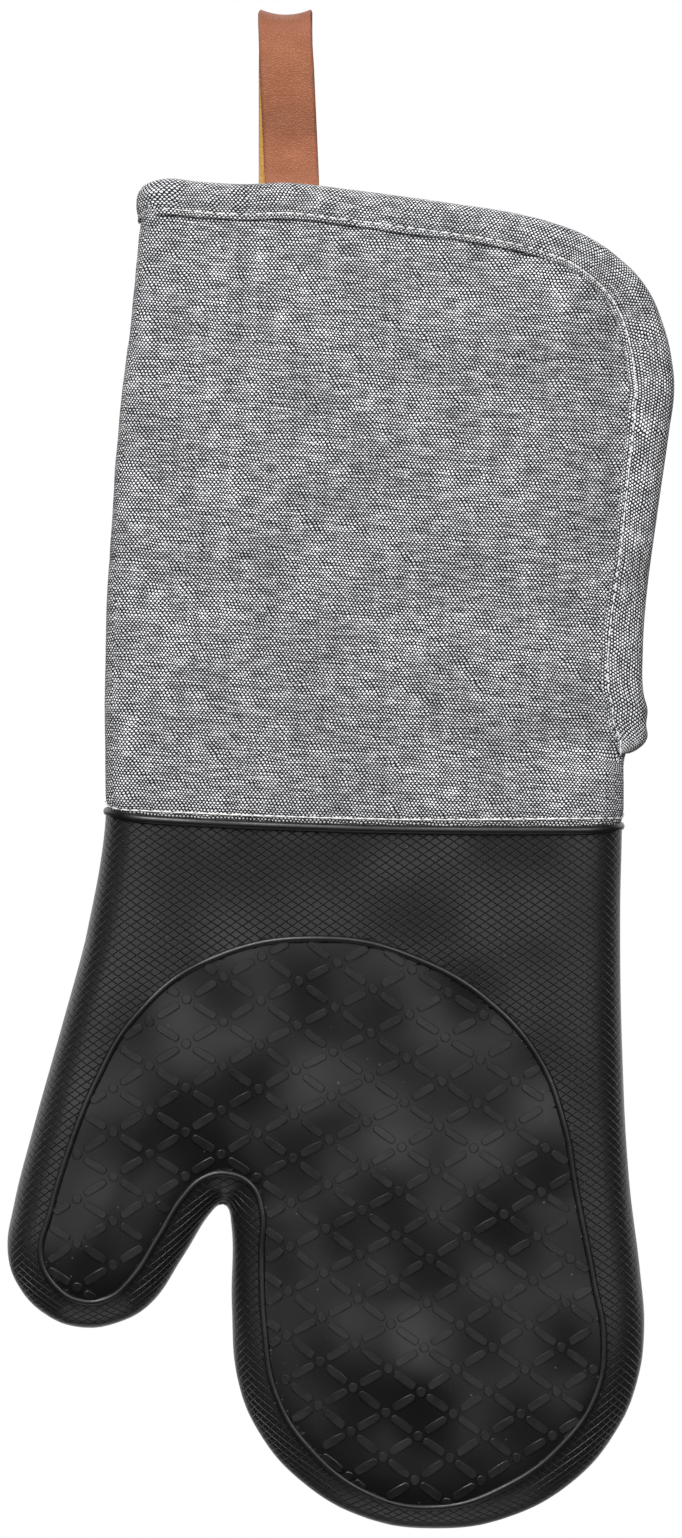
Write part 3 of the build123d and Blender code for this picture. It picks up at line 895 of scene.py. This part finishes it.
def nearest_edge(points):
    """For each point, seen from the front: how far it lies from the bound edge, how far along
    that edge, and how wide the binding is there."""
    step = 3.0
    track = sampled(bound_edge(), False, step)
    apart = np.hypot(points[:, None, 0] - track[None, :, 0], points[:, None, 2] - track[None, :, 2])
    nearest = apart.argmin(axis=1)
    shares, heights = zip(*BINDING_CUT)
    widths = BINDING_WIDTH * np.interp(track[nearest, 2], heights, shares)
    return apart.min(axis=1), step * nearest, widths


def flat_face(corners):
    """A flat face with its corners at the given points, in metres."""
    deselect()
    bpy.ops.mesh.primitive_circle_add(vertices=len(corners), fill_type="NGON")
    piece = bpy.context.object
    for vert, corner in zip(piece.data.vertices, corners):
        vert.co = corner
    return piece


def trim_block():
    """Block of the space inside the bound edge, which the cuff's halves are cut to."""
    top = [(x - 1.0, z - 2.2) for x, z in BOUND_EDGE[:10]]
    corner = [(x - 2.4, z - 0.8) for x, z in BOUND_EDGE[10:19]]
    below = [(96, -199), (94.5, -204), (94.5, -240), (-70, -240), (-70, -47)]
    block = flat_face([(x * MM, -0.03, z * MM) for x, z in top + corner + below])
    bpy.ops.object.mode_set(mode="EDIT")
    bpy.ops.mesh.select_all(action="SELECT")
    bpy.ops.mesh.extrude_region_move(TRANSFORM_OT_translate={"value": (0, 0.06, 0)})
    bpy.ops.object.mode_set(mode="OBJECT")
    recalculate(block)
    return block


def hem_band(front):
    """Foot of one half of the cuff, which turns round both sides and goes down behind the rim."""
    outer = [
        (-49.2, 0), (-49.2, 9), (-48.2, 12.5), (-45.6, 15), (-42, 15.9), (20, 15.9),
        (85, 15.9), (88.5, 15), (91.2, 12.5), (92.3, 9), (92.3, 0),
    ]
    inner = [(x + (CUFF_MIDDLE - x) * 0.07, y * 0.66) for x, y in reversed(outer)]
    band = flat_face([(x * MM, front * y * MM, (CUFF_RIM - 5) * MM) for x, y in outer + inner])
    bpy.ops.object.mode_set(mode="EDIT")
    bpy.ops.mesh.select_all(action="SELECT")
    bpy.ops.mesh.extrude_region_move(TRANSFORM_OT_translate={"value": (0, 0, 22 * MM)})
    bpy.ops.transform.resize(value=(1, 0.972, 1), center_override=(0, 0, 0))
    bpy.ops.object.mode_set(mode="OBJECT")
    recalculate(band)
    return band


def cuff_blank(name, side):
    """Cover, wadding and lining of one half joined into a single pad, trimmed at its edges."""
    band = hem_band(-1 if side == "front" else 1)
    deselect()
    band.select_set(True)
    for layer in ("cover", "wadding", "lining"):
        copy = nodes[f"cuff_{layer}_{side}"].copy()
        copy.data = copy.data.copy()
        copy.parent = None
        copy.matrix_world = Matrix.Identity(4)
        scene.collection.objects.link(copy)
        copy.hide_render = False
        copy.select_set(True)
        bpy.context.view_layer.objects.active = copy
    bpy.ops.object.join()
    pad = bpy.context.object
    pad.name = name
    pad.data.materials.clear()
    recalculate(pad)
    modify(pad, "REMESH", mode="VOXEL", voxel_size=2.0 * MM)
    block = trim_block()
    modify(pad, "BOOLEAN", operation="INTERSECT", object=block, solver="EXACT")
    bpy.data.objects.remove(block)
    modify(pad, "REMESH", mode="VOXEL", voxel_size=2.7 * MM)
    modify(pad, "SMOOTH", factor=0.5, iterations=2)
    return pad


def puff(pad, held, pressure, cap):
    """Swell a sewn pad with a short cloth simulation; held points stay where they are sewn."""
    before = points_of(pad)
    group = pad.vertex_groups.new(name="sewn")
    group.add([int(index) for index in np.flatnonzero(held)], 1.0, "REPLACE")
    cloth = pad.modifiers.new("puff", "CLOTH")
    settings = cloth.settings
    settings.quality = 4
    settings.mass = 0.25
    settings.tension_stiffness = 18
    settings.compression_stiffness = 10
    settings.bending_stiffness = 0.6
    settings.use_pressure = True
    settings.uniform_pressure_force = pressure
    settings.vertex_group_mass = "sewn"
    settings.effector_weights.gravity = 0
    frames = 20
    cloth.point_cache.frame_start = 1
    cloth.point_cache.frame_end = frames
    for number in range(1, frames + 1):
        scene.frame_set(number)
    activate(pad)
    bpy.ops.object.modifier_apply(modifier="puff")
    scene.frame_set(1)
    pad.vertex_groups.clear()
    moved = points_of(pad) - before
    length = np.maximum(np.linalg.norm(moved, axis=1), 1e-9)
    share = np.minimum(1, cap * MM / length)
    move_points(pad, before + moved * share[:, None])


def fit_outline(points):
    """Bring the left side to its line, and tuck the foot of the pad in behind the rim."""
    sides, heights = zip(*LEFT_EDGE)
    bands = np.arange(-222, -40, 4.0)
    found = []
    for band in bands:
        level = points[np.abs(points[:, 2] - band) < 4]
        found.append(level[:, 0].min() if len(level) else -40)
    wanted = np.interp(points[:, 2], heights, sides) - np.interp(points[:, 2], bands, found)
    points[:, 0] += wanted * np.clip((10 - points[:, 0]) / 50, 0, 1)
    tuck = eased(np.clip((CUFF_RIM + 0.5 - points[:, 2]) / 3, 0, 1))
    points[:, 0] += (CUFF_MIDDLE - points[:, 0]) * 0.034 * tuck
    points[:, 1] *= 1 - 0.16 * tuck
    points[:, 2] -= 2 * tuck
    lift = (rim_height(points[:, 0]) - RIM_LOW) * np.clip(1 - (points[:, 2] - CUFF_RIM) / 40, 0, 1)
    points[:, 2] += lift
    return points


def make_cuff_half(side, outside, within):
    """Padded half of the cuff, puckered beside its binding and sewn flat at its seams."""
    pad = cuff_blank(f"cuff_{side}", side)
    points = points_of(pad) / MM
    front = -1 if side == "front" else 1
    held = (nearest_edge(points)[0] < 12) | (points[:, 2] < CUFF_RIM + 6) | (points[:, 1] * front < 3)
    puff(pad, held, 3.0, 3.0)
    facing = normals_of(pad)
    points = points_of(pad) / MM + facing * 0.35
    gaps, places, widths = nearest_edge(points)
    well_in = np.clip((gaps - 8) / 30, 0, 1) * np.clip((points[:, 2] - CUFF_RIM - 4) / 30, 0, 1)
    beyond = gaps - widths
    pull = np.clip((beyond + 1.5) / 3, 0, 1) * np.clip((19 - beyond) / 18, 0, 1)
    pull *= 0.8 + 1.3 * np.exp(-((points[:, 0] - 86) ** 2 + (points[:, 2] + 78) ** 2) / 700)
    sunk = 0.75 * np.exp(-(((beyond - 0.4) / 1.5) ** 2))
    for index, (x, y, z) in enumerate(points):
        pucker = pull[index] * noise.noise(Vector((places[index] / 3.8, gaps[index] / 16, 2.2 + front)))
        wave = well_in[index] * soft_wave(x, z, 24, 5.3 + front)
        points[index, 1] += front * (0.9 * wave + 1.1 * pucker - sunk[index])
    points = fit_outline(points)
    seam = (points[:, 0] < -25) | ((points[:, 0] > 80) & (points[:, 2] < VENT_FOOT))
    meets = seam & (facing[:, 1] * front < -0.5) & (points[:, 1] * front < 4)
    points[meets, 1] = 0.1 * front
    points[seam, 1] = front * np.maximum(points[seam, 1] * front, 0.1)
    move_points(pad, points * MM)
    modify(pad, "SUBSURF", levels=1, render_levels=1)
    unroll(pad, 8.0, 0.0, CLOTH_TURN, boxed=True)
    shade_smooth(pad)
    pad.data.materials.append(outside)
    pad.data.materials.append(within)
    for face in pad.data.polygons:
        x, y, z = face.center / MM
        middle = cuff_depth(x, z) - STACK / 2
        faces_in = face.normal.x * (CUFF_MIDDLE - x) - face.normal.y * y > 0
        face.material_index = 1 if abs(y) < middle and faces_in else 0
    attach(pad, "mitt")
    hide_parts(f"cuff_cover_{side}", f"cuff_wadding_{side}", f"cuff_lining_{side}")


def bound_frames(step):
    """Places along the bound edge with their directions: along, into the cloth, and out of it."""
    track = sampled(bound_edge(), False, step)
    along = np.gradient(track, axis=0)
    along /= np.linalg.norm(along, axis=1)[:, None]
    frames = []
    for place, run in zip(track, along):
        inward = Vector((run[2], 0, -run[0]))
        turned = unit((LEFT_TURN[0] - place[0]) / 5)
        inward = inward.lerp(Vector((0, 0, -1)), turned)
        at_foot = unit((-150 - place[2]) / 30)
        inward = inward.lerp(Vector((-1, 0, 0.08)), at_foot)
        run = Vector(run)
        if not at_foot:
            inward = inward - run * run.dot(inward)
        inward.normalize()
        frames.append((Vector(place), run, inward, inward.cross(run).normalized()))
    return frames


def on_binding(bound, depth, height):
    """Place on the folded strip: how far into the cloth, and how far out of its middle."""
    place, run, inward, out = bound
    shares, heights = zip(*BINDING_CUT)
    spot = place + inward * depth * float(np.interp(place.z, heights, shares)) + out * height
    if place.x > LEFT_TURN[0]:
        spot.y += -float(cuff_depth(spot.x, spot.z)) + float(cuff_depth(place.x, place.z))
    return spot


def binding_profile(puffed):
    """Section of the folded strip: distance into the cloth, and height out of its middle."""
    edge = BINDING_WIDTH
    high = STACK / 2 + BINDING_LIFT
    inner = [(edge, 0.4 - high), (edge, -high), (edge - 1.6, -high), (6.5, -high - 0.2), (3.2, -high)]
    fold = [(1.3, -0.75 * high), (0.35, -0.45 * high), (0.0, 0.0), (0.35, 0.45 * high), (1.3, 0.76 * high)]
    outer = [(3.2, high + puffed), (6.0, high + 0.25 + puffed), (8.0, high + 0.1 + 0.6 * puffed)]
    sewn = [(edge - STITCH_INSET, high - 0.35), (edge - 0.5, high), (edge, high - 0.15), (edge, high - 0.7)]
    return inner + fold + outer + sewn


def make_binding(side, material):
    """Self-cloth strip folded over the top and vent edges of one half."""
    front = -1 if side == "front" else 1
    frames = bound_frames(BINDING_STEP)
    profile = np.array(binding_profile(0.0))
    widths = travelled_along(profile)
    points, places = [], []
    for index, bound in enumerate(frames):
        travelled = BINDING_STEP * index
        puffed = 0.35 * noise.noise(Vector((travelled / 9, 2.0 + front, 0)))
        puffed += 0.3 * noise.noise(Vector((travelled / 3.5, 5.0 + front, 0)))
        pinch = 0.12 * sin(2 * pi * travelled / STITCH_PITCH)
        wander = 0.45 * noise.noise(Vector((travelled / 17, 7.0, front)))
        for width, (d, height) in zip(widths, binding_profile(puffed)):
            lift = pinch if d > BINDING_WIDTH - 3 and height > 2.8 else 0.0
            spot = on_binding(bound, d + wander * d / BINDING_WIDTH, height + lift)
            points.append((spot.x * MM, spot.y * MM * -front, spot.z * MM))
            places.append((travelled, width))
    across = len(profile)
    faces = []
    for row in range(len(frames) - 1):
        for column in range(across - 1):
            a = row * across + column
            faces.append((a, a + 1, a + across + 1, a + across))
    strip = mesh_piece(f"bound_edge_{side}", points, faces)
    map_by_vertex(strip, places)
    recalculate(strip)
    modify(strip, "SOLIDIFY", thickness=BINDING_CLOTH * MM, offset=-1)
    modify(strip, "SUBSURF", levels=1, render_levels=1)
    shade_smooth(strip)
    strip.data.materials.append(material)
    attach(strip, "mitt")
    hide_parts(f"binding_{side}")


def stitch_model(length, thickness):
    """One stitch: a short thread that dips into the cloth at both ends."""
    deselect()
    bpy.ops.mesh.primitive_uv_sphere_add(segments=8, ring_count=8, radius=1.0)
    stitch = bpy.context.object
    for vert in stitch.data.vertices:
        x, y, z = vert.co
        rise = y * thickness / 2 + 0.06 - 0.16 * z * z
        vert.co = (z * length / 2 * MM, x * thickness / 2 * MM, rise * MM)
    return stitch


def make_stitching(name, track, normals, node, material, thread_size):
    """Stitches along a line of points in millimetres, each on its own normal."""
    share, thickness = thread_size
    models = {"stitch": stitch_model(STITCH_PITCH * share, thickness)}
    places = []
    for index in range(len(track) - 1):
        middle = (Vector(track[index]) + Vector(track[index + 1])) / 2
        along = Vector(track[index + 1]) - Vector(track[index])
        slack = Vector([noise.noise(Vector((index * 0.73, row, 8.6))) for row in (4.1, 14.3, 24.7)])
        middle += Vector(normals[index]) * (0.14 * slack.x - 0.06)
        along += Vector((0.3 * slack.y, 0, 0.3 * slack.z))
        places.append(("stitch", standing(middle, normals[index], along)))
    piece = copies(name, models, places)
    bpy.data.objects.remove(models["stitch"])
    shade_smooth(piece, 80)
    piece.data.materials.append(material)
    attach(piece, "mitt")
    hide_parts(node)


def binding_stitches(side, material):
    """Stitch line along the inner edge of one half's binding."""
    front = -1 if side == "front" else 1
    track, normals = [], []
    for bound in bound_frames(STITCH_PITCH):
        spot = on_binding(bound, BINDING_WIDTH - STITCH_INSET, STACK / 2 + BINDING_LIFT - STITCH_SINK)
        out = bound[3]
        track.append((spot.x, -front * spot.y, spot.z))
        normals.append((out.x, -front * out.y, out.z))
    make_stitching(f"stitches_{side}", track, normals, f"binding_stitching_{side}", material, BINDING_THREAD)


def rim_stitches(material):
    """Stitch line round the hem, just above the rim."""
    skins = [
        BVHTree.FromObject(bpy.data.objects[f"cuff_{side}"], bpy.context.evaluated_depsgraph_get())
        for side in ("front", "back")
    ]
    track, normals = [], []
    steps = 120
    for step in range(steps):
        angle = 2 * pi * step / steps
        ray = Vector((cos(angle), sin(angle), 0))
        centre = Vector((CUFF_MIDDLE, 0, 0))
        reach = centre + Vector((ray.x * 75, ray.y * 20, 0))
        height = float(rim_height(reach.x)) + HEM_STITCH_RISE + 0.7 * unit((reach.x - 30) / 50)
        start = Vector((reach.x * 1.2, reach.y * 1.6, height)) * MM
        goal = Vector((min(max(reach.x, -38), 80), 0, height)) * MM
        hits = [skin.ray_cast(start, (goal - start).normalized()) for skin in skins]
        hits = [hit for hit in hits if hit[0]]
        if hits:
            nearest = min(hits, key=lambda hit: hit[3])
            track.append(nearest[0] / MM)
            normals.append(nearest[1])
    track = np.array(track)
    lengths = travelled_along(track)
    at = np.arange(0, lengths[-1], STITCH_PITCH)
    line = placed_along(at, lengths, track)
    turned = placed_along(at, lengths, np.array([tuple(normal) for normal in normals]))
    make_stitching("rim_stitches", line, turned, "rim_stitching", material, HEM_THREAD)


# Strap


def strap_line():
    """Middle line of the strap in the YZ plane, from one tail over the top to the other."""
    top = LOOP_RADIUS + STRAP_THICKNESS / 2
    root_y, root_z = ROOT
    lower = [(root_y + 0.75, root_z - TAIL_LENGTH), (root_y + 0.75, root_z - 6), (root_y + 0.9, root_z + 1)]
    back = [(root_y * 0.72 + 3.0, -18), (top, -7)]
    over = [(top * cos(radians(a)), -LOOP_RADIUS + top * sin(radians(a))) for a in (30, 60, 90, 120, 150)]
    front = [(-top, -7), (root_y * 0.3 - 4.0, -20), (root_y - 1.6, root_z + 4), (root_y - 0.75, root_z - 6)]
    return lower + back + over + front + [(root_y - 0.75, root_z - TAIL_LENGTH)]


def make_strap(outside, within):
    """Leather strap folded into a loop, creased over its top with painted shade there, and lighter inside."""
    track = sampled(strap_line(), False, 0.8)[:, :2]
    along = np.gradient(track, axis=0)
    along /= np.linalg.norm(along, axis=1)[:, None]
    lengths = travelled_along(track)
    half = len(track) // 2
    columns = np.linspace(-1, 1, 17)
    points, places, painted_shade_and_edge_values = [], [], []
    for index, ((y, z), (_, run_z)) in enumerate(zip(track, along)):
        slide = 1.9 * np.clip((-z - 2) / 42, 0, 1) if index > half else 0.25
        near_top = np.clip(1 + z / 14, 0, 1)
        for column in columns:
            dish = 1.5 * near_top * (column * column - 0.35)
            x = column * STRAP_WIDTH / 2 * (1 - 0.04 * near_top) + slide - 0.45
            points.append((x * MM, (y + dish * run_z * 0.3) * MM, (z + dish * near_top) * MM))
            places.append((column * STRAP_WIDTH / 2, lengths[index]))
            # painted shade over the creased top and where the strap goes into the cuff; darker cut edges
            cut_edge = 0.75 if abs(column) > 0.99 else 0.0
            painted_shade_and_edge_values.append(max(0.9 * near_top**1.2, cut_edge, float(np.clip((-z - 38) / 8, 0, 0.4))))
    width = len(columns)
    faces = []
    for row in range(len(track) - 1):
        for column in range(width - 1):
            a = row * width + column
            faces.append((a, a + width, a + width + 1, a + 1))
    strap = mesh_piece("strap", points, faces)
    map_by_vertex(strap, places)
    paint(strap, "crease", painted_shade_and_edge_values)
    strap.data.materials.append(outside)
    strap.data.materials.append(within)
    modify(
        strap, "SOLIDIFY", thickness=STRAP_THICKNESS * MM, offset=0, material_offset=1, material_offset_rim=0
    )
    modify(strap, "BEVEL", width=0.25 * MM, segments=2, limit_method="ANGLE", angle_limit=radians(50))
    shade_smooth(strap, 50)
    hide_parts("hang_loop", "strap_tails")
    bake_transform(strap)


# Studio


def make_studio():
    """Pale floor well below the mitt, white surroundings that light it from above, and three lamps."""
    deselect()
    bpy.ops.mesh.primitive_grid_add(x_subdivisions=8, y_subdivisions=8, size=1.5, location=(0, 0, -1.9))
    floor = bpy.context.object
    floor.name = "floor"
    bpy.ops.object.transform_apply(location=True, rotation=True, scale=True)
    material, shading, shader = new_material("floor paper", 0.8)
    tone = shading.noise(shading.node("ShaderNodeTexCoord").outputs["Object"], 3.0)
    shading.link(shading.mix(tone, (0.84, 0.84, 0.84, 1), (0.87, 0.87, 0.87, 1)), shader.inputs["Base Color"])
    floor.data.materials.append(material)
    world = bpy.data.worlds.new("studio")
    scene.world = world
    world.use_nodes = True
    shading = Shading(world.node_tree)
    background = world.node_tree.nodes["Background"]
    rays = shading.node("ShaderNodeLightPath")
    split = shading.node("ShaderNodeSeparateXYZ")
    shading.link(shading.node("ShaderNodeTexCoord").outputs["Generated"], split.inputs[0])
    backdrop = shading.ramp(split.outputs[1], 0.75, 0.97)
    mirrored = shading.math("MULTIPLY", rays.outputs["Is Glossy Ray"], backdrop)
    seen = shading.math("MAXIMUM", rays.outputs["Is Camera Ray"], rays.outputs["Is Transmission Ray"])
    seen = shading.math("MAXIMUM", seen, mirrored)
    above = shading.ramp(split.outputs[2], -0.14, 0.16)
    ahead = shading.ramp(shading.math("ABSOLUTE", split.outputs[1]), 0.25, 0.7)
    dome = shading.ramp(shading.math("MULTIPLY", above, ahead), 0.0, 1.0, 0.06, 1.45, smooth=False)
    strength = shading.node("ShaderNodeMix", data_type="FLOAT")
    shading.link(seen, strength.inputs[0])
    shading.link(dome, strength.inputs[2])
    strength.inputs[3].default_value = 1.0
    shading.link(strength.outputs[0], background.inputs["Strength"])
    background.inputs["Color"].default_value = (1, 1, 1, 1)
    lamp("key", (-0.4, -0.95, 0.75), 0.6, 17)
    lamp("fill", (0.7, -1.0, 0.4), 0.5, 4)
    lamp("back_light", (0.1, 0.8, 1.1), 0.7, 9)


def lamp(name, place, size, power):
    """Square soft lamp turned to the middle of the mitt."""
    goal = (0.02, 0, -0.2)
    deselect()
    bpy.ops.object.light_add(type="AREA", location=place)
    light = bpy.context.object
    light.name = name
    light.data.size = size
    light.data.energy = power
    light.rotation_euler = (Vector(goal) - Vector(place)).to_track_quat("-Z", "Y").to_euler()


def make_camera():
    """Square on to the palm from far off, with the mitt filling the view."""
    distance = 2.6
    view_height = 0.42295
    sensor = 24
    deselect()
    bpy.ops.object.camera_add(location=(0.015, -distance, -0.20666), rotation=(pi / 2, 0, 0))
    camera = bpy.context.object
    camera.data.sensor_fit = "VERTICAL"
    camera.data.sensor_height = sensor
    camera.data.lens = sensor * distance / view_height
    scene.camera = camera


scene.view_settings.view_transform = "Standard"
make_camera()
make_studio()
weave = plain_weave_group()
cuff_cloth = chambray(weave)
cotton = lining_cotton(weave)
thread = sewing_thread("sewing thread", (0.58, 0.58, 0.57), (0.82, 0.82, 0.8))
hem_thread = sewing_thread("hem thread", (0.56, 0.56, 0.55), (0.9, 0.9, 0.89))
make_glove(silicone(), grip_silicone())
make_hand_padding(cotton)
for half in ("front", "back"):
    make_cuff_half(half, cuff_cloth, cotton)
    make_binding(half, cuff_cloth)
    binding_stitches(half, thread)
rim_stitches(hem_thread)
# each leather's last colour is used at the cut edges and as painted shade over the fold and near the cuff
brown = leather("strap leather", (0.43, 0.16, 0.083, 1), (0.48, 0.185, 0.1, 1), (0.2, 0.068, 0.034, 1))
mustard = leather("strap inside", (0.56, 0.31, 0.07, 1), (0.66, 0.39, 0.11, 1), (0.46, 0.24, 0.06, 1))
make_strap(brown, mustard)
